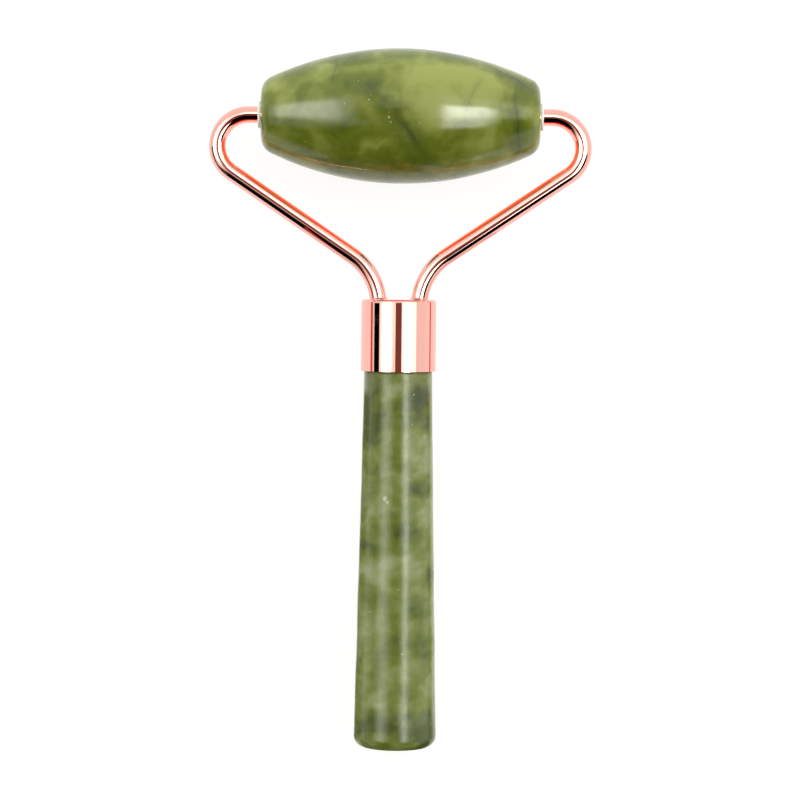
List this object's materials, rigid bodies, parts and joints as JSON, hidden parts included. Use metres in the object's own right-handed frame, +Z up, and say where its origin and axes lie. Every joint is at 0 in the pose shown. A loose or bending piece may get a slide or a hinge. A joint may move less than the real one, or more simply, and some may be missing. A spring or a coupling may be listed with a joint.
{
  "type": "face roller",
  "caption": "Hand massage roller: a barrel-shaped jade stone spins between two bent wire arms on a ferrule and a tapered jade handle.",
  "frame": {"origin": "bottom centre of the bounding box, on the table that the tool lies on, resting on the belly of the roller stone and the lower edge of the handle's butt", "axes": "+X along the roller's axis, +Y towards the head, +Z up; the tool's own plane is pitched 2.4 degrees about X, head end high, as it really rests"},
  "size_m": [0.0544, 0.0996, 0.0192],
  "materials": {
    "jade": "polished",
    "rose_gold": "polished",
    "nylon": "satin",
    "brass": "satin",
    "epoxy": "gloss"
  },
  "bodies": {
    "frame": {"handle": "jade", "ferrule": "rose_gold", "arm_block": "brass", "bond": "epoxy", "left_arm": "rose_gold", "right_arm": "rose_gold"},
    "roller": {"roller_stone": "jade", "left_bush": "nylon", "right_bush": "nylon"}
  },
  "joints": [
    {"name": "roller_spin", "type": "hinge", "parent": "frame", "child": "roller", "pos_m": [0, 0.04025, 0.0096], "axis": [1, 0, 0], "continuous": true}
  ]
}
